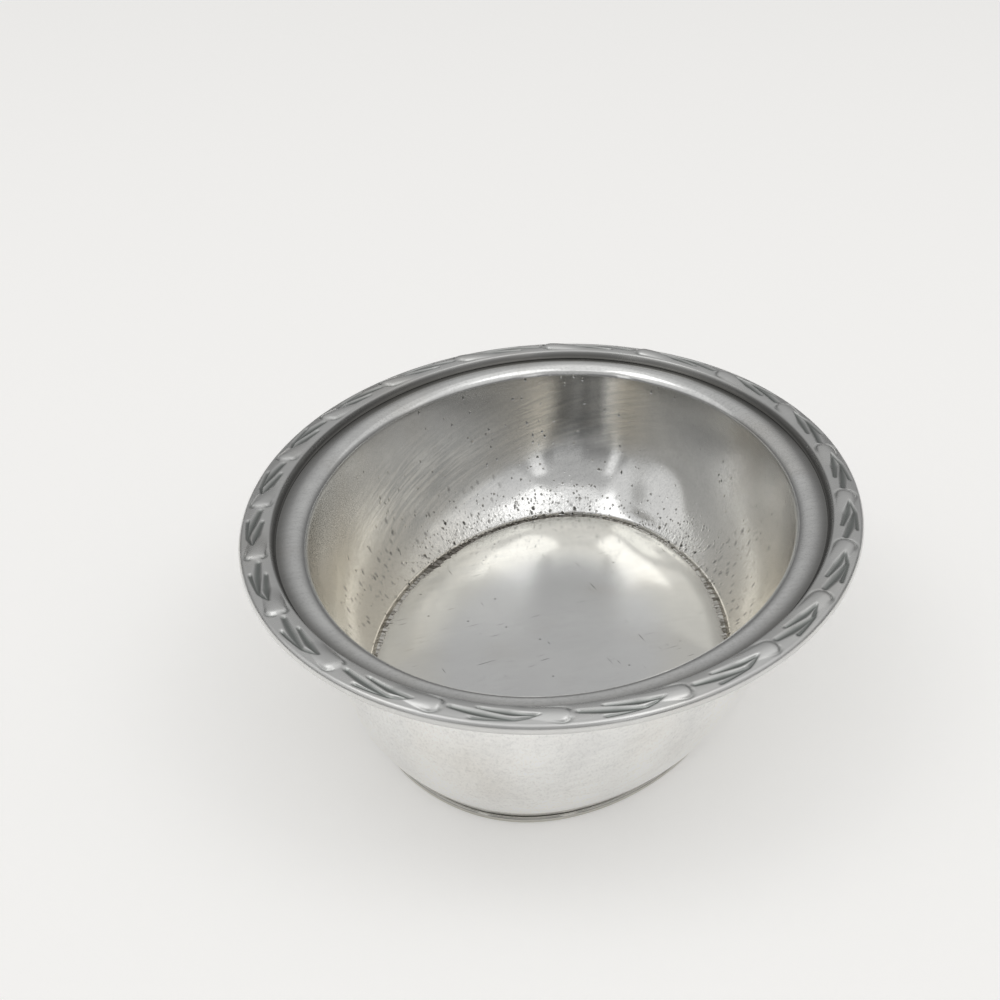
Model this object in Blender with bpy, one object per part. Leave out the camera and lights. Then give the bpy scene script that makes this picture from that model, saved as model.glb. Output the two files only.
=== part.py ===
"""Oval serving dish of silver-plated sheet metal, with a border of overlapping leaves.

Metres, +Z up. The dish stands on the plane z = 0 with its long axis along Y, centred on the origin.
A section is a list of (inset, height) pairs: inset runs square to the outer edge, towards the middle.
"""

import math

import bmesh
import bpy
import numpy as np
from mathutils import Vector
from mathutils.geometry import interpolate_bezier

# Overall sizes
OVERALL_LENGTH = 0.260
OVERALL_WIDTH = 0.180
BOWL_DEPTH = 0.049  # upper face of the floor to the level of the outer edge

# Sheet, plate and solder
WALL_SHEET = 0.0012
FLOOR_PLATE = 0.0016
PLATE_LEDGE = 0.0005  # how far the plate stands out past the wall's foot
PLATE_CHAMFER = 0.0004
SEAM_LEG = 0.0018  # height and width of the solder fillet
SEAM_HOLLOW = 0.7  # how much of the fillet's corner the solder fills
JOINT_GAP = 0.0003  # solder film between pieces

# Border, across from the outer edge. Rises are above the level of the outer edge
LIP_WIDTH = 0.0014
LIP_RISE = 0.0003
LIP_DEPTH = 0.0028
LEAF_WIDTH = 0.0066
BORDER_WIDTH = 0.0101
BAND_RISE = 0.0008
BAND_CROWN = 0.0002
BORDER_SHELL = 0.0006
BORDER_FEATHER = 0.0004  # thickness left at the border's inner edge

# Leaves
LEAF_COUNT = 20
LEAF_PHASE = 0.54  # place of the first tip after +X, in leaves
LEAF_RELIEF = 0.0006
LEAF_TAPER = 0.75  # share of the relief that is lost from tip to base
LEAF_SHOULDER = 0.4  # share of a leaf over which it widens to full width
TIP_SHARE = 0.35  # width at the very tip
LEAF_FLATNESS = 4  # power of the leaf's crown: higher is flatter on top
VEIN_DEPTH = 0.4  # share of the relief cut away beside the vein
VEIN_START = 0.3  # place of that channel across the leaf, at the tip
VEIN_SLANT = 0.5  # how far it crosses the leaf on its way to the base
VEIN_WIDTH = 0.13

# Bead and wall of the sheet
BEAD_DROP = 0.0012  # crown of the bead below the level of the outer edge
BEAD_RUN = 0.0049  # cove to the crown of the bead
SHOULDER_RUN = 0.0045  # crown of the bead to the top of the wall
SHOULDER_DROP = 0.0033
CROWN_FULLNESS = 0.56  # shares of its run and drop over which the shoulder stays level, then falls
SHOULDER_FULLNESS = 0.6
WALL_LEAN = 0.0177  # how far the wall comes in on its way down
UPPER_FULLNESS = 0.50  # shares of the wall's height over which it holds its upper and its lower lean
LOWER_FULLNESS = 0.38
TOP_LEAN = math.radians(6)
FOOT_LEAN = math.radians(52)

# Facets
OVAL_SAMPLES = 4001
SHARP_ANGLE = math.radians(40)
STATIONS_PER_LEAF = 4
BORDER_STATIONS_PER_LEAF = 8
NOSE_STEPS = 7
BAND_STEPS = 8
BEND_POINTS = 6
WALL_POINTS = 9

rim_level = FLOOR_PLATE + BOWL_DEPTH
foot_level = FLOOR_PLATE + JOINT_GAP
flange_top = rim_level - LIP_DEPTH + WALL_SHEET
band_end = LIP_WIDTH + LEAF_WIDTH


def clear_scene():
    for item in list(bpy.data.objects):
        bpy.data.objects.remove(item, do_unlink=True)


def plated_metal(name, colour, roughness):
    material = bpy.data.materials.new(name)
    material.use_nodes = True
    shader = material.node_tree.nodes["Principled BSDF"]
    shader.inputs["Base Color"].default_value = (*colour, 1.0)
    shader.inputs["Metallic"].default_value = 1.0
    shader.inputs["Roughness"].default_value = roughness
    return material


def oval_stations(turns):
    """Points at these shares of the way round the outer edge, each with the direction inwards."""
    half_width = OVERALL_WIDTH / 2
    half_length = OVERALL_LENGTH / 2
    turn = np.linspace(0.0, 2 * math.pi, OVAL_SAMPLES)
    steps = np.hypot(np.diff(half_width * np.cos(turn)), np.diff(half_length * np.sin(turn)))
    travelled = np.concatenate([[0.0], np.cumsum(steps)])
    stations = []
    for angle in np.interp(np.array(turns) * travelled[-1], travelled, turn):
        edge = Vector((half_width * math.cos(angle), half_length * math.sin(angle)))
        inward = -Vector((half_length * math.cos(angle), half_width * math.sin(angle))).normalized()
        stations.append((edge, inward))
    return stations


def sweep(name, section, turns, material, ring=True, lift=None):
    """Carries a section round the oval. A ring joins its last point to its first, a disc is capped."""
    shape = bmesh.new()
    rows = []
    for turn, (edge, inward) in zip(turns, oval_stations(turns)):
        row = []
        for place, (inset, height) in enumerate(section):
            x, y = edge + inset * inward
            rise = lift(turn, place) if lift else 0.0
            row.append(shape.verts.new((x, y, height + rise)))
        rows.append(row)
    first = 0 if ring else 1
    for row, following in zip(rows, rows[1:] + rows[:1]):
        for place in range(first, len(section)):
            shape.faces.new((row[place - 1], row[place], following[place], following[place - 1]))
    if not ring:
        shape.faces.new([row[0] for row in rows])
        shape.faces.new([row[-1] for row in rows])
    bmesh.ops.recalc_face_normals(shape, faces=shape.faces)
    mesh = bpy.data.meshes.new(name)
    shape.to_mesh(mesh)
    shape.free()
    mesh.shade_smooth()
    mesh.set_sharp_from_angle(angle=SHARP_ANGLE)
    mesh.materials.append(material)
    piece = bpy.data.objects.new(name, mesh)
    bpy.context.scene.collection.objects.link(piece)
    return piece


def parallel_line(line, distance):
    """The line moved square to itself, to the right of its run."""
    moved = []
    for index, point in enumerate(line):
        run = line[min(index + 1, len(line) - 1)] - line[max(index - 1, 0)]
        moved.append(point + distance * Vector((run.y, -run.x)).normalized())
    return moved


def at_height(line, height):
    """The point of a falling line at this height."""
    upper, lower = next((a, b) for a, b in zip(line, line[1:]) if b.y <= height <= a.y)
    return upper.lerp(lower, (upper.y - height) / (upper.y - lower.y))


def bead_and_shoulder():
    """Upper side of the sheet from the flange's free end, over the bead, to the top of the wall."""
    crown_level = rim_level - BEAD_DROP
    cove = Vector((BORDER_WIDTH + JOINT_GAP, flange_top))
    crown = Vector((BORDER_WIDTH + BEAD_RUN, crown_level))
    wall_top = Vector((crown.x + SHOULDER_RUN, crown_level - SHOULDER_DROP))
    half_run = Vector((crown.x - cove.x, 0.0)) / 2
    rise = interpolate_bezier(cove, cove + half_run, crown - half_run, crown, BEND_POINTS)
    level_handle = crown + Vector((SHOULDER_RUN * CROWN_FULLNESS, 0.0))
    falling_handle = wall_top + Vector((-math.tan(TOP_LEAN), 1.0)) * SHOULDER_DROP * SHOULDER_FULLNESS
    fall = interpolate_bezier(crown, level_handle, falling_handle, wall_top, BEND_POINTS)
    free_end = Vector((LIP_WIDTH + JOINT_GAP, flange_top))
    return [free_end] + rise + fall[1:]


def wall_line(top):
    """Inner side of the wall, steep under the bead and turning in towards the floor."""
    foot = Vector((top.x + WALL_LEAN, foot_level))
    height = top.y - foot.y
    upper_run = Vector((math.sin(TOP_LEAN), -math.cos(TOP_LEAN)))
    lower_run = Vector((math.sin(FOOT_LEAN), -math.cos(FOOT_LEAN)))
    upper_handle = top + UPPER_FULLNESS * height * upper_run
    lower_handle = foot - LOWER_FULLNESS * height * lower_run
    return interpolate_bezier(top, upper_handle, lower_handle, foot, WALL_POINTS)


def sheet_lines():
    """Inner and outer sides of the sheet, with the foot cut level to stand on the floor plate."""
    rim = bead_and_shoulder()
    inner = rim + wall_line(rim[-1])[1:]
    outer = parallel_line(inner, WALL_SHEET)
    foot = at_height(outer, foot_level)
    outer = [point for point in outer if point.y > foot_level] + [foot]
    return inner, outer


def ground(across):
    """Height of the band between the leaves, from the lip (0) to its inner side (1)."""
    crown = 4 * BAND_CROWN * across * (1 - across)
    return rim_level + LIP_RISE + (BAND_RISE - LIP_RISE) * across + crown


def leaf_share(along, across):
    """Relief of a leaf from 0 to 1, from its tip (along 0) to its base, outer side to inner side."""
    width = TIP_SHARE + (1 - TIP_SHARE) * min(1.0, along / LEAF_SHOULDER)
    body = max(0.0, 1 - (abs(2 * across - 1) / width) ** LEAF_FLATNESS)
    channel = (across - VEIN_START - VEIN_SLANT * along) / VEIN_WIDTH
    return body * (1 - LEAF_TAPER * along) * (1 - VEIN_DEPTH * math.exp(-channel * channel))


def border_section():
    """Struck strip: a rounded lip over the flange's edge, the leaf band and a slope to the cove."""
    lip_half = (LIP_RISE + LIP_DEPTH) / 2
    lip_middle = rim_level + LIP_RISE - lip_half
    nose = []
    for step in range(NOSE_STEPS):
        angle = math.pi * (0.5 + (1 + step) / NOSE_STEPS)
        nose.append((LIP_WIDTH * (1 + math.cos(angle)), lip_middle + lip_half * math.sin(angle)))
    shares = [step / BAND_STEPS for step in range(BAND_STEPS + 1)]
    band = [(LIP_WIDTH + LEAF_WIDTH * share, ground(share)) for share in shares]
    landing = flange_top + JOINT_GAP
    inner_edge = [(BORDER_WIDTH, landing + BORDER_FEATHER), (BORDER_WIDTH, landing)]
    hollow = [(BORDER_WIDTH - BORDER_SHELL, landing)]
    hollow += [(inset, height - BORDER_SHELL) for inset, height in reversed(band[::2])]
    return band[::-1] + nose, hollow[::-1] + inner_edge[::-1]


def leaf_turns():
    """Stations of the border, close together where each tip stands over the next leaf."""
    turns = []
    for leaf in range(LEAF_COUNT):
        for step in range(BORDER_STATIONS_PER_LEAF):
            along = 0.5 + 0.5 * math.cos(math.pi * (step + 0.5) / BORDER_STATIONS_PER_LEAF)
            turns.append((LEAF_PHASE + leaf - along) / LEAF_COUNT % 1.0)
    return sorted(turns)


def leaf_border(material):
    upper, lower = border_section()

    def lift(turn, place):
        if place > BAND_STEPS:
            return 0.0
        along = (LEAF_PHASE - turn * LEAF_COUNT) % 1.0
        return LEAF_RELIEF * leaf_share(along, 1 - place / BAND_STEPS)

    return sweep("leaf_border", upper + lower, leaf_turns(), material, lift=lift)


def border_filling(turns, material):
    """Solder in the hollow back of the border, resting on the flange."""
    bottom = flange_top + JOINT_GAP
    outer = LIP_WIDTH + JOINT_GAP
    inner = BORDER_WIDTH - BORDER_SHELL - 2 * JOINT_GAP
    under_shell = BORDER_SHELL + JOINT_GAP
    crest = [(outer, ground(0.0) - under_shell)]
    crest.append((LIP_WIDTH + LEAF_WIDTH / 2, ground(0.5) - under_shell))
    crest.append((band_end - JOINT_GAP, ground(1.0) - under_shell))
    section = [(inner, bottom), (outer, bottom)] + crest
    return sweep("border_filling", section, turns, material)


def floor_seam(inner, turns, material):
    """Fillet of solder in the corner between the wall and the floor."""
    clear = JOINT_GAP / math.cos(FOOT_LEAN)
    heel = Vector((inner[-1].x + clear, foot_level))
    toe = Vector((inner[-1].x + SEAM_LEG, foot_level))
    top_level = foot_level + SEAM_LEG
    top = Vector((at_height(inner, top_level).x + clear, top_level))
    hollow = heel.lerp((toe + top) / 2, SEAM_HOLLOW)
    return sweep("floor_seam", [heel, toe, hollow, top], turns, material)


def floor_plate(outer, turns, material):
    """Oval plate under the wall, its lower edge chamfered."""
    edge = outer[-1].x - PLATE_LEDGE
    section = [(edge + PLATE_CHAMFER, 0.0), (edge, PLATE_CHAMFER), (edge, FLOOR_PLATE)]
    return sweep("floor_plate", section, turns, material, ring=False)


def build():
    clear_scene()
    dish = bpy.data.objects.new("dish", None)
    bpy.context.scene.collection.objects.link(dish)
    stations = LEAF_COUNT * STATIONS_PER_LEAF
    turns = [station / stations for station in range(stations)]
    inner, outer = sheet_lines()
    wall_plate = plated_metal("worn_silver_plate", (0.60, 0.59, 0.56), 0.30)
    floor_finish = plated_metal("scuffed_silver_plate", (0.58, 0.57, 0.56), 0.36)
    border_finish = plated_metal("struck_silver_plate", (0.64, 0.64, 0.62), 0.28)
    seam_finish = plated_metal("tarnished_solder", (0.20, 0.18, 0.15), 0.60)
    filling_finish = plated_metal("grey_solder", (0.32, 0.32, 0.33), 0.50)
    pieces = [
        sweep("side_wall", inner + outer[::-1], turns, wall_plate),
        floor_plate(outer, turns, floor_finish),
        floor_seam(inner, turns, seam_finish),
        leaf_border(border_finish),
        border_filling(turns, filling_finish),
    ]
    for piece in pieces:
        piece.parent = dish


build()
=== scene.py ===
import math
import bmesh
import bpy
import numpy as np
from mathutils import Matrix, Vector


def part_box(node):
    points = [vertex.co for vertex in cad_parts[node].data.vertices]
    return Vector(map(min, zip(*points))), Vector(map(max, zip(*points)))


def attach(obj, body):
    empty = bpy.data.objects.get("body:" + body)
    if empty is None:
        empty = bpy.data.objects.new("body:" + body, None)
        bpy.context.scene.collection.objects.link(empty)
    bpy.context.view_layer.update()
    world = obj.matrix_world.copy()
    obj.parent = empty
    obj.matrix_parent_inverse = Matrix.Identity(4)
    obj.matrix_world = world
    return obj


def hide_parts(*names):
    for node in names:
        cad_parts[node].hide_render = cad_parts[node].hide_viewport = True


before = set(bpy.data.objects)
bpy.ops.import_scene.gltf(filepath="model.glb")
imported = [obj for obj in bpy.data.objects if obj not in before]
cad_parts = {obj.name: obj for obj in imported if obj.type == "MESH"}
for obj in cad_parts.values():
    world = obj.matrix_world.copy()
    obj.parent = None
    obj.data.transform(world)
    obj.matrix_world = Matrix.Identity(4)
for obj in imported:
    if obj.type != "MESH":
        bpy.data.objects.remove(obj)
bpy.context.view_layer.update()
print("frame loaded:", ", ".join(sorted(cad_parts)))

# the oval and the levels every piece shares, in metres
mm = 0.001
dish = {
    "halfWidth": 0.090,
    "halfLength": 0.130,
    "floorTop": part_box("floor_plate")[1].z,
    "depth": 49.0 * mm,        # floor to the level of the outer edge
    "floorInset": 37.2 * mm,   # outer edge to the foot of the wall, inwards
    "toMiddle": 60.0 * mm,     # further inset that stands for the way to the middle of the floor
    "tableSteps": 8000,
    "weld": 1e-7,              # points closer than this become one
}
rimLevel = dish["floorTop"] + dish["depth"]


def linear(hexColour):
    values = [int(hexColour[i:i + 2], 16) / 255 for i in (1, 3, 5)]
    return [v / 12.92 if v <= 0.04045 else ((v + 0.055) / 1.055) ** 2.4 for v in values] + [1.0]


def addNode(tree, kind, inputs=None, **settings):
    made = tree.nodes.new("ShaderNode" + kind)
    for name, value in settings.items():
        setattr(made, name, value)
    for name, value in (inputs or {}).items():
        if isinstance(value, bpy.types.NodeSocket):
            tree.links.new(value, made.inputs[name])
        else:
            made.inputs[name].default_value = value
    return made


def smoothStep(low, high, x):
    t = np.clip((x - low) / (high - low), 0.0, 1.0)
    return t * t * (3 - 2 * t)


def waves(points, size, seed, octaves=2):
    # smooth seeded unevenness, about -1 to 1, with bumps of about this size
    rng = np.random.default_rng(seed)
    total = np.zeros(len(points))
    for octave in range(octaves):
        for _ in range(6):
            way = rng.normal(size=3)
            way *= 2 * np.pi * 2 ** octave / size / np.linalg.norm(way)
            total += np.sin(points @ way + rng.uniform(0, 2 * np.pi)) / 2 ** octave
    return total / 4


def around(share, middle, width):
    # 1 at this place round the oval, falling off to both sides
    gap = np.abs(np.mod(share - middle + 0.5, 1.0) - 0.5)
    return np.exp(-(gap / width) ** 2)


def stretches(share, spots):
    # each spot is its middle and width round the oval, and its amount
    return sum(amount * around(share, middle, width) for middle, width, amount in spots)


def patch(share, above, middle, width, height, spread, amount):
    return amount * around(share, middle, width) * np.exp(-((above - height) / spread) ** 2)


def towards(bearing, elevation):
    # bearings run from the camera side to the right, in degrees
    a, e = math.radians(bearing), math.radians(elevation)
    return Vector((math.sin(a) * math.cos(e), -math.cos(a) * math.cos(e), math.sin(e)))


# equal steps of travel round the oval
turnTable = np.linspace(0.0, 2 * np.pi, dish["tableSteps"] + 1)
stepTable = np.hypot(np.diff(dish["halfWidth"] * np.cos(turnTable)),
                     np.diff(dish["halfLength"] * np.sin(turnTable)))
edgeLength = stepTable.sum()
shareTable = np.concatenate([[0.0], np.cumsum(stepTable)]) / edgeLength


def ovalPoints(share, inset, height):
    turn = np.interp(share, shareTable, turnTable)
    edge = np.c_[dish["halfWidth"] * np.cos(turn), dish["halfLength"] * np.sin(turn)]
    inward = -np.c_[dish["halfLength"] * np.cos(turn), dish["halfWidth"] * np.sin(turn)]
    inward /= np.linalg.norm(inward, axis=1)[:, None]
    kept = np.minimum(inset, dish["floorInset"])
    shrink = 1 - np.maximum(inset - dish["floorInset"], 0.0) / dish["toMiddle"]
    plan = (edge + kept[:, None] * inward) * shrink[:, None]
    return np.c_[plan, height], np.c_[inward, np.zeros(len(share))]


def swept(name, section, steps, relief, closed=True):
    # a grid is wrapped round the oval along a section of (inset, height) pairs, then welded
    lines = len(section) if closed else len(section) - 1
    shape = bmesh.new()
    bmesh.ops.create_grid(shape, x_segments=steps, y_segments=lines, size=0.5)
    mesh = bpy.data.meshes.new(name)
    shape.to_mesh(mesh)
    grid = np.zeros(len(mesh.vertices) * 3)
    mesh.vertices.foreach_get("co", grid)
    grid = grid.reshape(-1, 3)
    share = np.mod(np.rint((grid[:, 0] + 0.5) * steps), steps) / steps
    ring = np.array(section)[np.rint((grid[:, 1] + 0.5) * lines).astype(int) % len(section)]
    placed, inward = ovalPoints(share, ring[:, 0], ring[:, 1])
    placed, layers = relief(placed, inward, share, ring[:, 0])
    mesh.vertices.foreach_set("co", placed.ravel())
    for layer, values in layers.items():
        mesh.attributes.new(layer, "FLOAT", "POINT").data.foreach_set("value", values.astype(np.float32))
    shape.clear()
    shape.from_mesh(mesh)
    bmesh.ops.remove_doubles(shape, verts=shape.verts, dist=dish["weld"])
    bmesh.ops.recalc_face_normals(shape, faces=shape.faces)
    shape.to_mesh(mesh)
    shape.free()
    mesh.shade_smooth()
    piece = bpy.data.objects.new(name, mesh)
    bpy.context.scene.collection.objects.link(piece)
    return piece


def curve(first, handleA, handleB, last, steps):
    # points of a cubic curve, without its last one
    t = np.linspace(0.0, 1.0, steps, endpoint=False)[:, None]
    p = [np.array(v, float) for v in (first, handleA, handleB, last)]
    line = (1 - t) ** 3 * p[0] + 3 * t * (1 - t) ** 2 * p[1] + 3 * t ** 2 * (1 - t) * p[2] + t ** 3 * p[3]
    return [tuple(v) for v in line]


def parallel(line, distance):
    line = np.array(line)
    run = np.gradient(line, axis=0)
    run /= np.linalg.norm(run, axis=1)[:, None]
    return [tuple(v) for v in line + distance * np.c_[run[:, 1], -run[:, 0]]]


# wall: one sheet from the flange, over the bead and down to the floor. Points of the section are inset
# and height, places are shares of the way round from +X, and heights of marks are above the floor
wall = {
    "sheet": 1.2 * mm,
    "freeEnd": (1.7 * mm, rimLevel - 1.6 * mm),
    "cove": (10.4 * mm, rimLevel - 1.6 * mm),
    "crown": (15.0 * mm, rimLevel - 1.2 * mm),
    "top": (19.5 * mm, rimLevel - 4.5 * mm),
    "beadFull": 2.5 * mm,                 # how far the bead runs on level after its crown
    "beadTuck": (-0.2 * mm, 2.0 * mm),    # and where it comes down from, seen from the top of the wall
    "topLean": 6.0,                       # degrees from upright
    "footLean": 52.0,
    "topPull": 0.50,                      # how long the wall keeps each lean, as a share of its height
    "footPull": 0.38,
    "footGap": 0.3 * mm,                  # room for the solder
    "steps": 480,
    "lineSteps": (12, 14, 30),            # along the rise to the crown, the bead's inner side, the bowl
    "bowlFrom": (17.0 * mm, 24.0 * mm),   # insets between which the rim gives way to the bowl
    "faceDepth": (0.2 * mm, 0.6 * mm),    # depths in the sheet between which the marks end
    "footFree": (0.5 * mm, 5.0 * mm),     # heights between which the dents set in
    "dents": 0.10 * mm,
    "dentSize": 42.0 * mm,
    "dentSeed": 3,
    # patches: place and spread round, height and spread up, amount
    "bulge": (0.187, 0.026, 9.5 * mm, 9.0 * mm, 1.9 * mm),   # pushed in from outside
    "rubbed": [(0.39, 0.07, 24.0 * mm, 14.0 * mm, 0.6), (0.26, 0.05, 36.0 * mm, 12.0 * mm, 0.8)],
    # corrosion: place and spread round, amount
    "fineWear": [(0.37, 0.06, 0.9), (0.14, 0.05, 0.9), (0.27, 0.05, 0.9)],
    "fineLeast": 0.1,
    "fineReach": 8.5 * mm,
    "strayPits": [(0.30, 0.05, 0.12)],    # single ones higher up
    "strayLeast": 0.06,
    "wideWear": [(0.46, 0.06, 0.92), (0.055, 0.055, 0.92)],
    "wideLeast": 0.08,
    "wideReach": 14.0 * mm,
    "browned": [(0.375, 0.06, 0.50), (0.15, 0.05, 0.15)],   # tarnish under the bead
    "brownReach": 9.0 * mm,
    "dull": (0.787, 0.167, 0.05, 0.03),   # painted shade on the near side: middle, half width, how far it fades in and out
    "paintedShade": (10.5 * mm, 1.6 * mm, 3.0 * mm),   # painted shade in the cove: inset, reach outwards and inwards
}


def wallLine():
    cove, crown, top = wall["cove"], wall["crown"], wall["top"]
    foot = (dish["floorInset"], dish["floorTop"] + wall["footGap"])
    half = (crown[0] - cove[0]) / 2
    upper = wall["topPull"] * (top[1] - foot[1])
    lower = wall["footPull"] * (top[1] - foot[1])
    a, b = math.radians(wall["topLean"]), math.radians(wall["footLean"])
    tuck = (top[0] + wall["beadTuck"][0], top[1] + wall["beadTuck"][1])
    rimSteps, beadSteps, bowlSteps = wall["lineSteps"]
    line = [wall["freeEnd"], ((wall["freeEnd"][0] + cove[0]) / 2, cove[1])]
    line += curve(cove, (cove[0] + half, cove[1]), (crown[0] - half, crown[1]), crown, rimSteps)
    line += curve(crown, (crown[0] + wall["beadFull"], crown[1]), tuck, top, beadSteps)
    line += curve(top, (top[0] + upper * math.sin(a), top[1] - upper * math.cos(a)),
                  (foot[0] - lower * math.sin(b), foot[1] + lower * math.cos(b)), foot, bowlSteps)
    return line + [foot]


def wallRelief(placed, inward, share, inset):
    inside = smoothStep(*wall["bowlFrom"], inset)
    above = placed[:, 2] - dish["floorTop"]
    # marks are kept to the inner face of the sheet
    face = np.array([p for p in wallLine() if p[0] >= wall["top"][0]][::-1])
    behind = np.interp(placed[:, 2], face[:, 1], face[:, 0]) - inset
    bowlSide = inside * (1 - smoothStep(*wall["faceDepth"], behind))
    uneven = waves(placed, wall["dentSize"], wall["dentSeed"]) * wall["dents"]
    uneven += patch(share, above, *wall["bulge"])
    uneven *= inside * smoothStep(*wall["footFree"], above)
    placed = placed + uneven[:, None] * inward
    # painted shade in the cove
    shadeInset, outwards, inwards = wall["paintedShade"]
    fromCove = inset - shadeInset
    cove = np.exp(-(fromCove / np.where(fromCove > 0, inwards, outwards)) ** 2)
    # painted shade: the near side shows only as a reflection in the far side, and is darkened so that this
    # reflection comes out dark
    middle, half, fadeIn, fadeOut = wall["dull"]
    dull = 1 - smoothStep(half - fadeIn, half + fadeOut, np.abs(share - middle))
    under = (wall["top"][1] - placed[:, 2]) / wall["brownReach"]
    browned = np.exp(-under ** 2) * stretches(share, wall["browned"])
    # corrosion: fine pits along the floor, wide ones higher up at the two sides
    fine = wall["fineLeast"] + stretches(share, wall["fineWear"])
    fine = np.exp(-(above / wall["fineReach"]) ** 2) * fine
    stray = wall["strayLeast"] + stretches(share, wall["strayPits"])
    wide = wall["wideLeast"] + stretches(share, wall["wideWear"])
    wide = np.exp(-(above / wall["wideReach"]) ** 2) * wide
    rubbed = sum(patch(share, above, *spot) for spot in wall["rubbed"])
    return placed, {
        "cove": cove,
        # painted shade of the near side, together with the real tarnish under the bead
        "dull": np.maximum(dull, browned) * bowlSide,
        "fineWear": np.maximum(fine, stray) * bowlSide,
        "wideWear": wide * bowlSide,
        "rubbed": rubbed * bowlSide,
        "travel": share * edgeLength,
        "climb": above,
        "warm": (0.5 + 0.5 * np.cos(4 * np.pi * share)) ** 2 * bowlSide,   # most at the two sides
    }


def makeWall():
    inner = wallLine()
    outer = parallel(inner, wall["sheet"])
    # the outer face is cut off level with the foot
    footLevel = inner[-1][1]
    kept = [p for p in outer if p[1] > footLevel + 0.2 * mm]
    over, under = np.array(kept[-1]), np.array(outer[-1])
    cut = over + (under - over) * (over[1] - footLevel) / max(over[1] - under[1], 1e-6)
    return swept("wallSheet", inner + [tuple(cut)] + kept[::-1], wall["steps"], wallRelief)


# floor: oval plate that the wall stands on, very slightly dished and dented by use
floorPlate = {
    "edge": 34.9 * mm,
    "chamfer": 0.4 * mm,
    "hollow": 0.3 * mm,
    "dents": 0.03 * mm,
    "dentSize": 40.0 * mm,
    "dentSeed": 8,
    "shadowAndGrimeReach": 0.025,       # painted contact shadow and grime by the wall: shares of the way from the wall to the middle
    "scuffed": (0.24, 0.46),
    "steps": 480,
    "rings": 40,
}


def floorRelief(placed, inward, share, inset):
    middle = np.clip((inset - dish["floorInset"]) / dish["toMiddle"], 0, 1)
    top = placed[:, 2] > dish["floorTop"] - 0.1 * mm
    dents = floorPlate["dents"] * waves(placed, floorPlate["dentSize"], floorPlate["dentSeed"])
    swell = dents * smoothStep(0, 0.1, middle) - floorPlate["hollow"] * (1 - (1 - middle) ** 2)
    placed[:, 2] += np.where(top, swell, 0.0)
    # painted contact shadow and grime along the foot of the wall
    foot = np.exp(-middle / floorPlate["shadowAndGrimeReach"])
    return placed, {"foot": foot, "scuff": smoothStep(*floorPlate["scuffed"], middle)}


def makeFloor():
    top = dish["floorTop"]
    edge, chamfer = floorPlate["edge"], floorPlate["chamfer"]
    centre = dish["floorInset"] + dish["toMiddle"]
    section = [(centre, 0.0), (dish["floorInset"], 0.0), (edge + chamfer, 0.0), (edge, chamfer), (edge, top)]
    section += [(inset, top) for inset in np.linspace(dish["floorInset"], centre, floorPlate["rings"] + 1)]
    return swept("floorOval", section, floorPlate["steps"], floorRelief, closed=False)


# seam: thin uneven fillet of solder between wall and floor, thickest at the left of the far side
seam = {
    "leg": 0.32 * mm,
    "seat": 0.05 * mm,         # over the floor
    "topShare": 0.8,           # height and hollow of the fillet, in legs
    "hollow": (0.25, 0.30),
    "arcSteps": 7,
    # place and spread round, amount
    "thick": [
        (0.405, 0.03, 2.4 * mm),
        (0.05, 0.07, 2.0 * mm),
        (0.49, 0.05, 1.7 * mm),
        (0.33, 0.03, 0.5 * mm),
    ],
    "dark": [(0.39, 0.045, 1.0), (0.30, 0.05, 1.0)],
    "spread": (0.6, 0.8),      # how much of the thickness goes out over the floor and up the wall
    "steps": 2400,
    "lumps": 0.16 * mm,
    "lumpSize": 5.0 * mm,
    "grain": 0.08 * mm,
    "grainSize": 1.3 * mm,
    "grainMore": 1.2,          # for each mm of thickness
    "crumbs": 0.10 * mm,
    "crumbReach": 3,           # steps to each side
    "crumbLeast": 0.3,
    "lumpShading": (0.5, 0.16, 0.2),   # painted light and shade of the lumps: plain tone, share of the crumbs, share of the grain
    "seeds": (21, 22, 23, 24),      # lumps, grain, crumbs of the toe and of the top
}


def crumbs(seed):
    # uneven values round the seam, each lump a few steps long
    reach = seam["crumbReach"]
    loose = np.random.default_rng(seed).normal(size=seam["steps"])
    bell = np.exp(-np.linspace(-2, 2, 2 * reach + 1) ** 2)
    return np.convolve(np.r_[loose[-reach:], loose, loose[:reach]], bell / np.linalg.norm(bell), "valid")


def seamRelief(placed, inward, share, inset):
    lumpSeed, grainSeed, toeSeed, topSeed = seam["seeds"]
    lump = waves(placed, seam["lumpSize"], lumpSeed)
    grain = waves(placed, seam["grainSize"], grainSeed)
    extra = stretches(share, seam["thick"])
    lift = smoothStep(0.1 * mm, 0.5 * mm, placed[:, 2] - dish["floorTop"])
    out = smoothStep(-0.4 * mm, 0.4 * mm, inset - dish["floorInset"])
    rough = seam["lumps"] * lump + seam["grain"] * grain * (1 + seam["grainMore"] * extra / mm)
    overFloor, upWall = seam["spread"]
    swell = (overFloor * extra + rough) * out - (extra + rough) * upWall * (1 - out)
    placed = placed + swell[:, None] * inward
    placed[:, 2] += (overFloor * extra + rough) * lift
    # crumbs: much finer than the lumps, without a beat, different on the toe and on the top
    step = np.rint(share * seam["steps"]).astype(int) % seam["steps"]
    toe, top = (crumbs(seed)[step] for seed in (toeSeed, topSeed))
    coarse = seam["crumbs"] * (seam["crumbLeast"] + extra / mm)
    placed = placed + (coarse * (toe * out - top * (1 - out)))[:, None] * inward
    placed[:, 2] += coarse * top * lift
    # painted light and shade: the tone follows the crumbs and the grain
    plain, crumbTone, grainTone = seam["lumpShading"]
    tone = np.clip(plain + crumbTone * (toe + top) + grainTone * grain, 0, 1)
    return placed, {"lump": tone, "dull": np.clip(stretches(share, seam["dark"]), 0, 1)}


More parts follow.
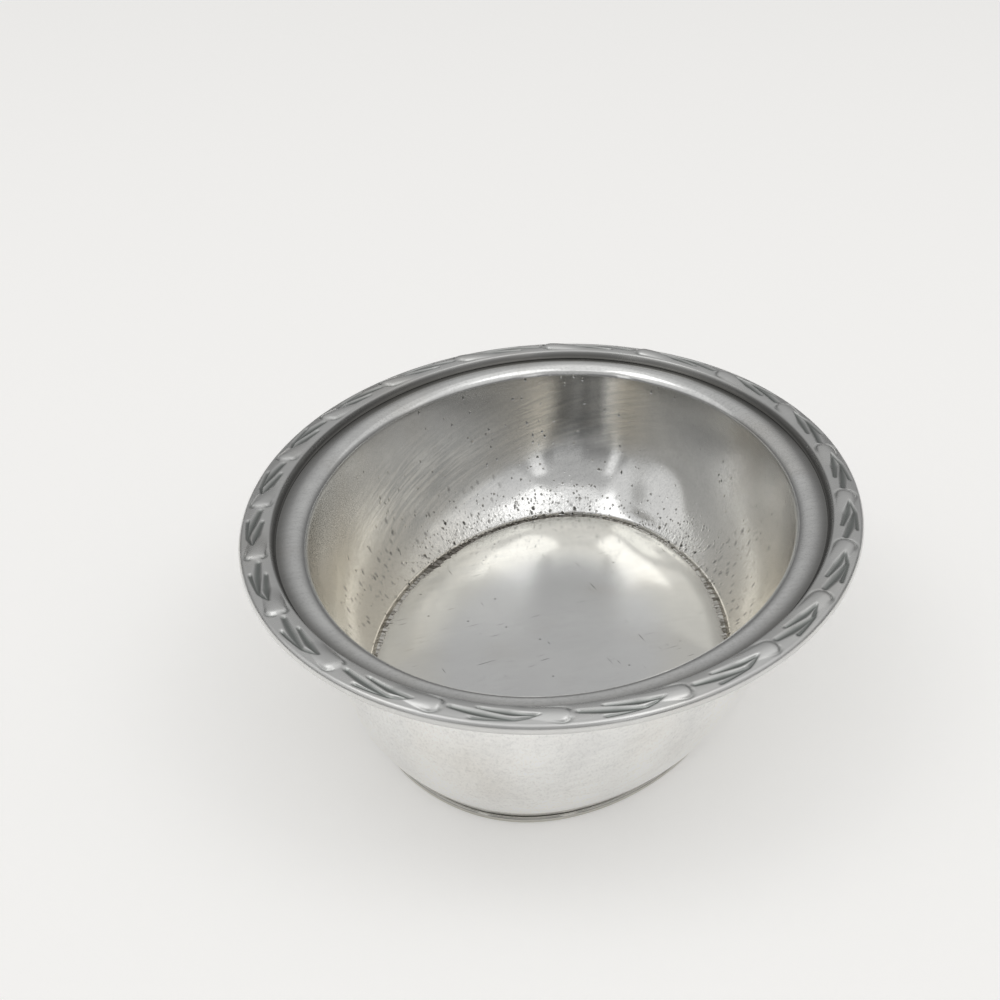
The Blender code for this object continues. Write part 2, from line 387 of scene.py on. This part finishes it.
def makeSeam():
    foot = np.array([dish["floorInset"], dish["floorTop"] + seam["seat"]])
    leg = seam["leg"]
    toe = foot + (leg, 0)
    top = foot + (-leg, leg * seam["topShare"])
    hollow = foot + np.array(seam["hollow"]) * leg
    section = [tuple(foot + (toe - foot) * k / 3) for k in (0, 1, 2)]
    section += curve(toe, (toe + hollow) / 2, (top + hollow) / 2, top, seam["arcSteps"])
    section += [tuple(top), tuple((top + foot) / 2)]
    return swept("seamFillet", section, seam["steps"], seamRelief)


# border: struck strip of overlapping leaves, laid on the flange and turned down over its edge.
# Runs are given by where they pass (along the leaf, across the band) and their half width in mm
border = {
    "leaves": 20,
    "phase": 0.54,             # first tip after +X, in leaves
    "drift": 0.035,            # the tips on the left lie further on by twice this
    "stepsPerLeaf": 54,
    "lip": 1.4 * mm,
    "lipRise": 0.3 * mm,
    "lipDepth": 2.8 * mm,
    "bandStart": 0.6 * mm,
    "bandWidth": 7.8 * mm,
    "crown": 1.5 * mm,
    "crest": (8.4 * mm, 0.8 * mm),        # section points: inset, height over the outer edge
    "slope": (9.5 * mm, 9.3 * mm),        # insets that steer the slope down into the cove
    "innerEdge": 10.4 * mm,
    "seat": 0.10 * mm,         # over the flange
    "lineSteps": (15, 38, 14),   # round the nose, over the band, down the slope
    "underside": [(8.0 * mm, -0.3 * mm), (4.7 * mm, -0.3 * mm), (1.4 * mm, -0.5 * mm)],
    "slotDepth": 0.6 * mm,
    "slotEdge": 1.25,
    "tipRise": 0.75 * mm,
    "tipReach": 1.08,          # in half widths of the tip
    "tipRound": 0.7,
    "tipFade": (0.10, 0.50),   # along the leaf, into the plain inner edge behind the tip
    "tipEdge": (0.95, 1.15),   # in half widths: the recesses end here
    "tipFront": (0.15, 0.30),  # along the leaf
    "groove": (1.15, 0.13),    # round the tip, in half widths: middle, width
    "grooveFade": (0.05, 0.20),
    "grooveDepth": 0.5,        # shares of a recess
    # painted shade in the groove round each tip, as a share of the recess shade
    "grooveShade": 0.6,
    "bandOuter": (-0.07, 0.14),   # across the band: where the relief sets in and ends
    "bandInner": (0.98, 1.10),
    "tip": [(0.088, 0.50, 2.8), (0.20, 0.57, 2.7), (0.50, 0.72, 2.0)],
    "slots": [
        [(0.25, 0.44, 0.4), (0.47, 0.58, 1.35), (0.72, 0.74, 0.7)],
        [(0.42, 0.26, 0.6), (0.66, 0.40, 1.45), (0.94, 0.57, 1.0)],
        [(0.25, 0.44, 0.4), (0.42, 0.26, 0.7), (0.75, 0.19, 0.7)],
    ],
    "shadeFrom": (8.3 * mm, 10.0 * mm),   # insets between which painted shade darkens the cove
}


def borderSection():
    lip, rise, deep = border["lip"], border["lipRise"], border["lipDepth"]
    inner, landing = border["innerEdge"], wall["cove"][1] + border["seat"]
    noseSteps, bandSteps, slopeSteps = border["lineSteps"]
    half = (rise + deep) / 2
    nose = [(lip * (1 + math.cos(a)), rimLevel + rise - half + half * math.sin(a))
            for a in np.linspace(math.pi / 2, 3 * math.pi / 2, noseSteps)]
    crest = (border["crest"][0], rimLevel + border["crest"][1])
    climb = border["crest"][1] - rise
    band = [(lip + (crest[0] - lip) * t, rimLevel + rise + climb * t + border["crown"] * t * (1 - t))
            for t in np.linspace(0.0, 1.0, bandSteps)[1:-1]]
    high, low = border["slope"]
    slope = curve(crest, (high, crest[1]), (low, landing + 0.1 * mm), (inner, landing), slopeSteps)
    under = [(inner, landing), (inner, landing - 0.02 * mm), (low, landing)]
    under += [(inset, rimLevel + height) for inset, height in border["underside"]]
    return nose[::-1] + band + slope + under


def runDistance(along, across, points):
    # distance to a run of points as a share of its half width there, over the neighbouring leaves too
    pitch, wide = edgeLength / mm / border["leaves"], border["bandWidth"] / mm
    best = np.full(len(along), 9.0)
    for shift in (-1.0, 0.0, 1.0):
        x, y = (along + shift) * pitch, across * wide
        for (a, b, halfA), (c, d, halfB) in zip(points, points[1:]):
            start, way = (a * pitch, b * wide), ((c - a) * pitch, (d - b) * wide)
            t = ((x - start[0]) * way[0] + (y - start[1]) * way[1]) / (way[0] ** 2 + way[1] ** 2)
            t = np.clip(t, 0, 1)
            gap = np.hypot(x - start[0] - t * way[0], y - start[1] - t * way[1])
            best = np.minimum(best, gap / (halfA + (halfB - halfA) * t))
    return best


def borderRelief(placed, inward, share, inset):
    phase = border["phase"] + border["drift"] * (1 - np.cos(2 * np.pi * share))
    along = np.mod(phase - share * border["leaves"], 1.0)
    across = (inset - border["bandStart"]) / border["bandWidth"]
    onTop = (placed[:, 2] > rimLevel + 0.1 * mm) & (across < 1.3)
    tipGap = runDistance(along, across, border["tip"])
    tip = np.clip(1 - (tipGap / border["tipReach"]) ** 2, 0, 1) ** border["tipRound"]
    tip *= 1 - smoothStep(*border["tipFade"], along)
    # recesses stop short of the tip in front of them, which has a groove round it
    slotGap = np.min([runDistance(along, across, slot) for slot in border["slots"]], axis=0)
    hollow = 1 - smoothStep(0.0, border["slotEdge"], slotGap)
    front = (1 - smoothStep(*border["tipEdge"], tipGap)) * (1 - smoothStep(*border["tipFront"], along))
    hollow = hollow * (1 - front)
    middle, width = border["groove"]
    groove = np.exp(-((tipGap - middle) / width) ** 2) * (1 - smoothStep(*border["grooveFade"], along))
    fade = smoothStep(*border["bandOuter"], across) * (1 - smoothStep(*border["bandInner"], across))
    rise = border["tipRise"] * tip
    rise = rise - border["slotDepth"] * np.maximum(hollow, border["grooveDepth"] * groove)
    placed[:, 2] += np.where(onTop, rise * fade, 0.0)
    # painted shade in the recesses and in the groove round each tip
    recessShade = np.where(onTop, np.maximum(hollow, border["grooveShade"] * groove) * fade, 0.0)
    # painted shade on the border's slope down into the cove
    return placed, {"recessShade": recessShade, "cove": smoothStep(*border["shadeFrom"], inset)}


def makeBorder():
    return swept("leafStrip", borderSection(), border["leaves"] * border["stepsPerLeaf"], borderRelief)


# camera: where the photo was taken from, found from the rim, the leaf tips and the floor's edge
photoView = {
    "azimuth": 6.12,
    "elevation": 24.98,
    "distance": 0.630,
    "roll": 1.21,
    "focalPixels": 2137.2,
    "imageSide": 1000,
    "rimCentre": (55.66, -0.54),   # pixels right of and below the middle of the picture
}


def makeCamera():
    lens = bpy.data.cameras.new("photoCamera")
    camera = bpy.data.objects.new("photoCamera", lens)
    bpy.context.scene.collection.objects.link(camera)
    lens.sensor_width = 36.0
    lens.lens = photoView["focalPixels"] / photoView["imageSide"] * lens.sensor_width
    lens.clip_start = 0.01
    back = towards(photoView["azimuth"], photoView["elevation"])
    look = (-back).to_track_quat("-Z", "Y").to_matrix()
    right, down = photoView["rimCentre"]
    focal = photoView["focalPixels"]
    turned = look @ Matrix.Rotation(math.radians(photoView["roll"]), 3, "Z")
    turned = turned @ Matrix.Rotation(math.atan2(down, math.hypot(focal, right)), 3, "X")
    turned = turned @ Matrix.Rotation(math.atan2(right, focal), 3, "Y")
    place = Vector((0, 0, rimLevel)) + back * photoView["distance"]
    camera.matrix_world = Matrix.Translation(place) @ turned.to_4x4()
    bpy.context.scene.camera = camera


# silver plate on sheet metal, polished by hand and long in use: pale grey, clouded, with fine rubbing marks.
# Sizes in this and the finishes below are in mm
plate = {
    "bright": "#F9F9F7",
    "dull": "#DEDEDD",
    "warm": "#DCD5C8",
    "tarnish": "#45433E",
    "pit": "#2E2B27",
    "cloud": 24.0,
    "cloudRange": (0.58, 0.92),      # of the noise
    "stain": 38.0,
    "stainRange": (0.5, 0.75),
    "stainMost": 0.3,
    "rub": (1.3, 1.3, 18.0),         # real hairlines are far finer: as coarse as they need to show
    "rubTurn": (-0.52, 1.37, 0.0),   # the marks lie aslant
    "rubHeight": 0.04,
}


def silverBase(name, finish):
    # clouded plate: returns its material, shader, coordinates and colour so far
    material = bpy.data.materials.new(name)
    material.use_nodes = True
    tree = material.node_tree
    shader = tree.nodes["Principled BSDF"]
    shader.inputs["Metallic"].default_value = 1.0
    place = addNode(tree, "TexCoord").outputs["Object"]
    cloud = addNode(tree, "TexNoise", {"Vector": place, "Scale": 1000 / plate["cloud"],
                                       "Detail": 3.0}).outputs["Fac"]
    aslant = addNode(tree, "Mapping", {"Vector": place, "Rotation": plate["rubTurn"],
                                       "Scale": [size * mm for size in plate["rub"]]}, vector_type="TEXTURE")
    rub = addNode(tree, "TexNoise", {"Vector": aslant.outputs[0], "Scale": 1.0, "Detail": 3.0}).outputs["Fac"]
    blend = addNode(tree, "Math", {0: rub, 1: 0.5, 2: cloud}, operation="MULTIPLY_ADD").outputs[0]
    low, high = plate["cloudRange"]
    even = addNode(tree, "MapRange", {"Value": blend, "From Min": low, "From Max": high}).outputs[0]
    mottle = addNode(tree, "MapRange", {"Value": even, "To Min": 1 - finish["contrast"]}).outputs[0]
    tone = addNode(tree, "Mix", {0: mottle, 6: linear(plate["dull"]), 7: linear(plate["bright"])},
                   data_type="RGBA").outputs[2]
    stain = addNode(tree, "TexNoise", {"Vector": place, "Scale": 1000 / plate["stain"], "Detail": 4.0,
                                       "W": 3.0}, noise_dimensions="4D").outputs["Fac"]
    low, high = plate["stainRange"]
    stained = addNode(tree, "MapRange", {"Value": stain, "From Min": low, "From Max": high,
                                         "To Max": plate["stainMost"]},
                      interpolation_type="SMOOTHSTEP").outputs[0]
    colour = addNode(tree, "Mix", {0: stained, 6: tone, 7: linear(plate["warm"])},
                     data_type="RGBA").outputs[2]
    clear, hazy = finish["roughness"]
    shine = addNode(tree, "MapRange", {"Value": even, "To Min": hazy, "To Max": clear}).outputs[0]
    tree.links.new(shine, shader.inputs["Roughness"])
    bump = addNode(tree, "Bump", {"Height": rub, "Strength": finish["rubDepth"],
                                  "Distance": plate["rubHeight"] * mm})
    tree.links.new(bump.outputs[0], shader.inputs["Normal"])
    return material, shader, place, colour


# silver plate on a raised wall, hand polished, then rubbed and eaten by damp: a soft mirror, hazier and
# yellower at the two sides, with slanting strokes and black pits that crowd along the floor
wallFinish = {
    "roughness": (0.13, 0.20),     # bright, clouded
    "rubDepth": 0.2,
    "contrast": 0.5,
    "sideTint": "#FBF3E4",
    "sideHaze": 0.07,
    "grit": 0.7,                   # finer in life, like the strokes: as coarse as they need to show
    "gritRange": (0.30, 0.52),
    "gritTone": 0.90,
    "stroke": "#C0C5CA",
    "strokeSize": (22.0, 1.1),
    "strokeTurn": -0.2,
    "strokeRange": (0.40, 0.62),
    "pitWobble": (1.5, 0.9),       # size, reach
    "pitSquash": (1.0, 1.0, 0.6),  # pits stand taller than wide
    # wear, cell, radius as a share of it, hard core as a share of that, chance where worn and its power,
    # least and most darkness
    "pits": [
        ("fineWear", 1.0, 0.40, 0.4, 0.60, 1.0, 0.25, 0.75),
        ("fineWear", 1.9, 0.36, 0.5, 0.45, 2.0, 0.35, 1.0),
        ("wideWear", 2.2, 0.44, 0.1, 0.65, 1.0, 0.30, 0.80),
    ],
    "pitDepth": 0.4,
    "pitStrength": 0.9,
    "crumble": 1.0,
    "crumblePower": 3.0,
    # how dark the painted shade of the near side and the tarnish under the bead get
    "shadeAndTarnishAmount": 0.85,
    "coveShade": 0.80,
}


def wornSilverPlate():
    material, shader, place, colour = silverBase("wornSilverPlate", wallFinish)
    tree = material.node_tree
    warm = addNode(tree, "Attribute", attribute_name="warm").outputs["Fac"]
    colour = addNode(tree, "Mix", {0: warm, 6: colour, 7: linear(wallFinish["sideTint"])}, data_type="RGBA",
                     blend_type="MULTIPLY").outputs[2]
    plain = shader.inputs["Roughness"].links[0].from_socket
    haze = addNode(tree, "Math", {0: warm, 1: wallFinish["sideHaze"], 2: plain}, operation="MULTIPLY_ADD")
    tree.links.new(haze.outputs[0], shader.inputs["Roughness"])
    # fine grit that dulls the plate in points
    grit = addNode(tree, "TexNoise", {"Vector": place, "Scale": 1000 / wallFinish["grit"],
                                      "Detail": 2.0}).outputs["Fac"]
    low, high = wallFinish["gritRange"]
    grit = addNode(tree, "MapRange", {"Value": grit, "From Min": low, "From Max": high,
                                      "To Min": wallFinish["gritTone"]}).outputs[0]
    colour = addNode(tree, "Mix", {0: 1.0, 6: colour, 7: grit}, data_type="RGBA",
                     blend_type="MULTIPLY").outputs[2]
    # patches of slanting strokes from rubbing, bluish between them
    travel = addNode(tree, "Attribute", attribute_name="travel").outputs["Fac"]
    climb = addNode(tree, "Attribute", attribute_name="climb").outputs["Fac"]
    along = addNode(tree, "CombineXYZ", {"X": travel, "Y": climb}).outputs[0]
    length, width = wallFinish["strokeSize"]
    slant = addNode(tree, "Mapping", {"Vector": along, "Rotation": (0.0, 0.0, wallFinish["strokeTurn"]),
                                      "Scale": (length * mm, width * mm, 1.0)},
                    vector_type="TEXTURE").outputs[0]
    stroke = addNode(tree, "TexNoise", {"Vector": slant, "Scale": 1.0, "Detail": 2.0}).outputs["Fac"]
    low, high = wallFinish["strokeRange"]
    stroke = addNode(tree, "MapRange", {"Value": stroke, "From Min": high, "From Max": low}).outputs[0]
    rubbed = addNode(tree, "Attribute", attribute_name="rubbed").outputs["Fac"]
    stroke = addNode(tree, "Math", {0: stroke, 1: rubbed}, operation="MULTIPLY").outputs[0]
    colour = addNode(tree, "Mix", {0: stroke, 6: colour, 7: linear(wallFinish["stroke"])}, data_type="RGBA",
                     blend_type="MULTIPLY").outputs[2]
    # corrosion pits
    wobbleSize, wobbleReach = wallFinish["pitWobble"]
    wobble = addNode(tree, "TexNoise", {"Vector": place, "Scale": 1000 / wobbleSize,
                                        "Detail": 1.0}).outputs["Color"]
    bent = addNode(tree, "VectorMath", {0: wobble, 1: [wobbleReach * mm] * 3, 2: place},
                   operation="MULTIPLY_ADD").outputs[0]
    tall = addNode(tree, "VectorMath", {0: bent, 1: wallFinish["pitSquash"]}, operation="MULTIPLY").outputs[0]
    pit = None
    for layer, cell, radius, core, worn, power, faint, dark in wallFinish["pits"]:
        cells = addNode(tree, "TexVoronoi", {"Vector": tall, "Scale": 1000 / cell})
        wear = addNode(tree, "Attribute", attribute_name=layer).outputs["Fac"]
        often = addNode(tree, "Math", {0: wear, 1: power}, operation="POWER").outputs[0]
        chance = addNode(tree, "Math", {0: often, 1: worn}, operation="MULTIPLY").outputs[0]
        pick = addNode(tree, "SeparateColor", {"Color": cells.outputs["Color"]}).outputs
        chosen = addNode(tree, "Math", {0: pick[0], 1: chance}, operation="LESS_THAN").outputs[0]
        spot = addNode(tree, "MapRange", {"Value": cells.outputs["Distance"], "From Min": radius * core,
                                          "From Max": radius, "To Min": 1.0, "To Max": 0.0}).outputs[0]
        deep = addNode(tree, "MapRange", {"Value": pick[1], "To Min": faint, "To Max": dark}).outputs[0]
        spot = addNode(tree, "Math", {0: spot, 1: deep}, operation="MULTIPLY").outputs[0]
        spot = addNode(tree, "Math", {0: chosen, 1: spot}, operation="MULTIPLY").outputs[0]
        pit = addNode(tree, "Math", {0: pit, 1: spot}, operation="MAXIMUM").outputs[0] if pit else spot
        sunken = pit if layer == "fineWear" else sunken   # the wide ones are only stains
    # painted shade: the near side is darkened for its dark reflection; this mask also holds the real tarnish
    # under the bead
    dull = addNode(tree, "Attribute", attribute_name="dull").outputs["Fac"]
    reflectionShadeAndTarnish = addNode(tree, "Math", {0: dull, 1: wallFinish["shadeAndTarnishAmount"]}, operation="MULTIPLY").outputs[0]
    # painted shade in the cove
    cove = addNode(tree, "Attribute", attribute_name="cove").outputs["Fac"]
    paintedShade = addNode(tree, "Math", {0: cove, 1: wallFinish["coveShade"]}, operation="MULTIPLY").outputs[0]
    dark = addNode(tree, "Math", {0: reflectionShadeAndTarnish, 1: paintedShade}, operation="MAXIMUM").outputs[0]
    colour = addNode(tree, "Mix", {0: dark, 6: colour, 7: linear(plate["tarnish"])},
                     data_type="RGBA").outputs[2]
    colour = addNode(tree, "Mix", {0: pit, 6: colour, 7: linear(plate["pit"])}, data_type="RGBA").outputs[2]
    tree.links.new(colour, shader.inputs["Base Color"])
    # the corroded metal between the pits is crumbly too
    crumble = addNode(tree, "TexNoise", {"Vector": bent, "Scale": 1000 / wallFinish["crumble"],
                                         "Detail": 2.0}).outputs["Fac"]
    fine = addNode(tree, "Attribute", attribute_name="fineWear").outputs["Fac"]
    fine = addNode(tree, "Math", {0: fine, 1: wallFinish["crumblePower"]}, operation="POWER").outputs[0]
    crumble = addNode(tree, "Math", {0: crumble, 1: fine}, operation="MULTIPLY").outputs[0]
    hollow = addNode(tree, "Math", {0: crumble, 1: sunken}, operation="SUBTRACT").outputs[0]
    rubbing = shader.inputs["Normal"].links[0].from_socket
    sunk = addNode(tree, "Bump", {"Height": hollow, "Strength": wallFinish["pitStrength"],
                                  "Distance": wallFinish["pitDepth"] * mm, "Normal": rubbing})
    tree.links.new(sunk.outputs[0], shader.inputs["Normal"])
    return material


# silver plate on a flat plate, buffed, then scuffed by use: matt grey in the middle, bright and a little
# yellower along the wall, with short dark scratches and single specks
floorFinish = {
    "roughness": (0.08, 0.12),
    "rubDepth": 0.03,
    "contrast": 0.25,
    "middleMatt": 0.14,
    "edgeTint": "#FFFDF8",
    "middleTint": "#F8F8F9",
    "scratchSize": (0.7, 9.0),     # wider than in life, so that they show
    "scratchTurns": (0.5, -0.9),
    "scratchSeeds": (1.0, 7.0),
    "scratchRange": (0.73, 0.81),
    "speckCell": 6.0,
    "speckRadius": (0.04, 0.09),   # shares of the cell: hard core, soft edge
    "speckChance": 0.55,
    "markTone": 0.6,
    # painted contact shadow and grime along the wall
    "footShadowAndGrime": 0.4,
}


def scuffedSilverPlate():
    material, shader, place, colour = silverBase("scuffedSilverPlate", floorFinish)
    tree = material.node_tree
    width, length = floorFinish["scratchSize"]
    low, high = floorFinish["scratchRange"]
    marks = None
    for turn, seed in zip(floorFinish["scratchTurns"], floorFinish["scratchSeeds"]):
        aslant = addNode(tree, "Mapping", {"Vector": place, "Location": (0, 0, seed),
                                           "Rotation": (0, 0, turn), "Scale": (width * mm, length * mm, 1.0)},
                         vector_type="TEXTURE").outputs[0]
        line = addNode(tree, "TexNoise", {"Vector": aslant, "Scale": 1.0, "Detail": 1.0}).outputs["Fac"]
        line = addNode(tree, "MapRange", {"Value": line, "From Min": low, "From Max": high}).outputs[0]
        marks = addNode(tree, "Math", {0: marks, 1: line}, operation="MAXIMUM").outputs[0] if marks else line
    cells = addNode(tree, "TexVoronoi", {"Vector": place, "Scale": 1000 / floorFinish["speckCell"]})
    pick = addNode(tree, "SeparateColor", {"Color": cells.outputs["Color"]}).outputs[0]
    core, edge = floorFinish["speckRadius"]
    speck = addNode(tree, "MapRange", {"Value": cells.outputs["Distance"], "From Min": core, "From Max": edge,
                                       "To Min": 1.0, "To Max": 0.0}).outputs[0]
    chosen = addNode(tree, "Math", {0: pick, 1: floorFinish["speckChance"]}, operation="LESS_THAN").outputs[0]
    speck = addNode(tree, "Math", {0: chosen, 1: speck}, operation="MULTIPLY").outputs[0]
    marks = addNode(tree, "Math", {0: marks, 1: speck}, operation="MAXIMUM").outputs[0]
    marks = addNode(tree, "Math", {0: marks, 1: floorFinish["markTone"]}, operation="MULTIPLY").outputs[0]
    # painted contact shadow along the wall, with grime there
    foot = addNode(tree, "Attribute", attribute_name="foot").outputs["Fac"]
    paintedShade = addNode(tree, "Math", {0: foot, 1: floorFinish["footShadowAndGrime"]}, operation="MULTIPLY").outputs[0]
    dark = addNode(tree, "Math", {0: paintedShade, 1: marks}, operation="MAXIMUM").outputs[0]
    colour = addNode(tree, "Mix", {0: dark, 6: colour, 7: linear(plate["tarnish"])},
                     data_type="RGBA").outputs[2]
    scuff = addNode(tree, "Attribute", attribute_name="scuff").outputs["Fac"]
    tint = addNode(tree, "Mix", {0: scuff, 6: linear(floorFinish["edgeTint"]),
                                 7: linear(floorFinish["middleTint"])}, data_type="RGBA").outputs[2]
    colour = addNode(tree, "Mix", {0: 1.0, 6: colour, 7: tint}, data_type="RGBA",
                     blend_type="MULTIPLY").outputs[2]
    tree.links.new(colour, shader.inputs["Base Color"])
    plain = shader.inputs["Roughness"].links[0].from_socket
    matt = addNode(tree, "Math", {0: scuff, 1: floorFinish["middleMatt"], 2: plain}, operation="MULTIPLY_ADD")
    tree.links.new(matt.outputs[0], shader.inputs["Roughness"])
    return material


# silver plate on a strip struck in a die: satin, brightest on the worn tips, grey with painted shade in the
# chased recesses and nearly black with painted shade in the cove
borderFinish = {
    "roughness": (0.25, 0.34),
    "rubDepth": 0.2,
    "contrast": 0.5,
    "worn": "#BCBCBA",
    "wornShare": 0.45,
    # painted shade in the chased recesses
    "recessShade": "#868A87",
    "coveShade": 0.88,
}


def struckSilverPlate():
    material, shader, _, colour = silverBase("struckSilverPlate", borderFinish)
    tree = material.node_tree
    colour = addNode(tree, "Mix", {0: borderFinish["wornShare"], 6: colour, 7: linear(borderFinish["worn"])},
                     data_type="RGBA").outputs[2]
    # painted shade in the recesses
    recessShade = addNode(tree, "Attribute", attribute_name="recessShade").outputs["Fac"]
    colour = addNode(tree, "Mix", {0: recessShade, 6: colour, 7: linear(borderFinish["recessShade"])},
                     data_type="RGBA").outputs[2]
    # painted shade in the cove, nearly black
    cove = addNode(tree, "Attribute", attribute_name="cove").outputs["Fac"]
    paintedShade = addNode(tree, "Math", {0: cove, 1: borderFinish["coveShade"]}, operation="MULTIPLY").outputs[0]
    colour = addNode(tree, "Mix", {0: paintedShade, 6: colour, 7: linear(plate["tarnish"])},
                     data_type="RGBA").outputs[2]
    tree.links.new(colour, shader.inputs["Base Color"])
    return material


# soft solder run in by hand and left to tarnish: a lumpy grey line, with a painted highlight on its knobs and
# painted shade in its hollows, brown where it was never cleaned
solderFinish = {
    # painted shade in the hollows and painted highlight on the knobs
    "hollowShade": "#827D74",
    "knobHighlight": "#E2E0DB",
    "brown": "#6E655C",
    "brownShare": 0.75,
    "knobRange": (0.70, 1.20),
    "grain": 1.2,
    "grainDepth": 0.6,
    "metallic": 0.9,
    "roughness": 0.38,
}


def tarnishedSolder():
    material = bpy.data.materials.new("tarnishedSolder")
    material.use_nodes = True
    tree = material.node_tree
    shader = tree.nodes["Principled BSDF"]
    place = addNode(tree, "TexCoord").outputs["Object"]
    grain = addNode(tree, "TexNoise", {"Vector": place, "Scale": 1000 / solderFinish["grain"],
                                       "Detail": 3.0}).outputs["Fac"]
    # painted highlight and shade following the lumps and the grain
    lump = addNode(tree, "Attribute", attribute_name="lump").outputs["Fac"]
    both = addNode(tree, "Math", {0: grain, 1: lump}, operation="ADD").outputs[0]
    low, high = solderFinish["knobRange"]
    highlight = addNode(tree, "MapRange", {"Value": both, "From Min": low, "From Max": high}).outputs[0]
    bump = addNode(tree, "Bump", {"Height": grain, "Strength": 1.0,
                                  "Distance": solderFinish["grainDepth"] * mm})
    tree.links.new(bump.outputs[0], shader.inputs["Normal"])
    hollowShade, knobHighlight = linear(solderFinish["hollowShade"]), linear(solderFinish["knobHighlight"])
    colour = addNode(tree, "Mix", {0: highlight, 6: hollowShade, 7: knobHighlight}, data_type="RGBA").outputs[2]
    dull = addNode(tree, "Attribute", attribute_name="dull").outputs["Fac"]
    dull = addNode(tree, "Math", {0: dull, 1: solderFinish["brownShare"]}, operation="MULTIPLY").outputs[0]
    colour = addNode(tree, "Mix", {0: dull, 6: colour, 7: linear(solderFinish["brown"])}, data_type="RGBA",
                     blend_type="MULTIPLY").outputs[2]
    tree.links.new(colour, shader.inputs["Base Color"])
    shader.inputs["Metallic"].default_value = solderFinish["metallic"]
    shader.inputs["Roughness"].default_value = solderFinish["roughness"]
    return material


# stage: pale matt floor, a little brighter where it is seen or mirrored
stage = {"colour": "#EDECEA", "side": 24.0, "roughness": 0.9, "glow": 0.35}


def makeStage():
    shape = bmesh.new()
    bmesh.ops.create_grid(shape, x_segments=2, y_segments=2, size=stage["side"] / 2)
    mesh = bpy.data.meshes.new("paleFloor")
    shape.to_mesh(mesh)
    shape.free()
    ground = bpy.data.objects.new("paleFloor", mesh)
    bpy.context.scene.collection.objects.link(ground)
    material = bpy.data.materials.new("paleFloor")
    material.use_nodes = True
    tree = material.node_tree
    shader = tree.nodes["Principled BSDF"]
    shader.inputs["Base Color"].default_value = linear(stage["colour"])
    shader.inputs["Roughness"].default_value = stage["roughness"]
    shader.inputs["Emission Color"].default_value = linear(stage["colour"])
    path = addNode(tree, "LightPath").outputs
    seen = addNode(tree, "Math", {0: path["Is Camera Ray"], 1: path["Is Glossy Ray"]}, operation="MAXIMUM")
    seen = addNode(tree, "Math", {0: seen.outputs[0], 1: path["Is Transmission Ray"]}, operation="MAXIMUM")
    glow = addNode(tree, "Math", {0: seen.outputs[0], 1: stage["glow"]}, operation="MULTIPLY")
    tree.links.new(glow.outputs[0], shader.inputs["Emission Strength"])
    mesh.materials.append(material)


# light: a soft room that is brighter overhead, a wide softbox and a smaller, higher one to each side, one
# high over the camera and a weak one low beside it, two strips that flank it and one box behind
boxDistance = 1.5
softboxes = {
    "sideLeft": {"bearing": -82, "elevation": 36, "size": (1.8, 1.4), "level": 0.23},
    "sideRight": {"bearing": 92, "elevation": 36, "size": (1.6, 1.4), "level": 0.19},
    "highLeft": {"bearing": -76, "elevation": 60, "size": (0.95, 0.75), "level": 0.58},
    "highRight": {"bearing": 80, "elevation": 60, "size": (0.95, 0.75), "level": 0.54},
    "highFront": {"bearing": 4, "elevation": 60, "size": (1.0, 0.35), "level": 0.24},
    "stripLeft": {"bearing": -34, "elevation": 20, "size": (0.28, 0.7), "level": 0.50},
    "stripRight": {"bearing": 47, "elevation": 20, "size": (0.28, 0.7), "level": 0.49},
    "lowFront": {"bearing": 16, "elevation": 15, "size": (0.75, 0.35), "level": 0.13},
    "back": {"bearing": 135, "elevation": 42, "size": (1.2, 0.9), "level": 0.14},
}
room = [(0.0, 0.10), (0.2, 0.20), (0.45, 0.44), (0.7, 0.45), (0.95, 0.76)]   # height of the direction, level


def makeLight():
    for name, box in softboxes.items():
        light = bpy.data.lights.new(name + "Softbox", "AREA")
        light.shape = "RECTANGLE"
        light.size, light.size_y = box["size"]
        light.energy = box["level"] * math.pi * light.size * light.size_y
        back = towards(box["bearing"], box["elevation"])
        lamp = bpy.data.objects.new(name + "Softbox", light)
        lamp.location = Vector((0, 0, rimLevel)) + back * boxDistance
        lamp.rotation_euler = (-back).to_track_quat("-Z", "Y").to_euler()
        bpy.context.scene.collection.objects.link(lamp)
    world = bpy.data.worlds.new("softRoom")
    bpy.context.scene.world = world
    world.use_nodes = True
    tree = world.node_tree
    direction = addNode(tree, "TexCoord").outputs["Generated"]
    height = addNode(tree, "SeparateXYZ", {"Vector": direction}).outputs["Z"]
    ramp = addNode(tree, "ValToRGB", {"Fac": height})
    while len(ramp.color_ramp.elements) < len(room):
        ramp.color_ramp.elements.new(0.5)
    for stop, (position, level) in zip(ramp.color_ramp.elements, room):
        stop.position = position
        stop.color = (level, level, level, 1.0)
    tree.links.new(ramp.outputs["Color"], tree.nodes["Background"].inputs["Color"])


pieces = [
    (makeWall(), "side_wall", "wall_plate", wornSilverPlate()),
    (makeFloor(), "floor_plate", "floor_finish", scuffedSilverPlate()),
    (makeSeam(), "floor_seam", "seam_solder", tarnishedSolder()),
    (makeBorder(), "leaf_border", "border_plate", struckSilverPlate()),
]
for piece, node, slotName, finish in pieces:
    piece.data.materials.append(finish)
    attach(piece, "root")
    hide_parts(node)
    print(piece.name, len(piece.data.polygons), "faces")
# the filling is out of sight, so its CAD solid stays
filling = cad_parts["border_filling"]
filling.data.materials.clear()
filling.data.materials.append(tarnishedSolder())

makeStage()
makeLight()
makeCamera()
bpy.context.scene.view_settings.view_transform = "Standard"
print("floor,", len(softboxes), "softboxes and camera set")
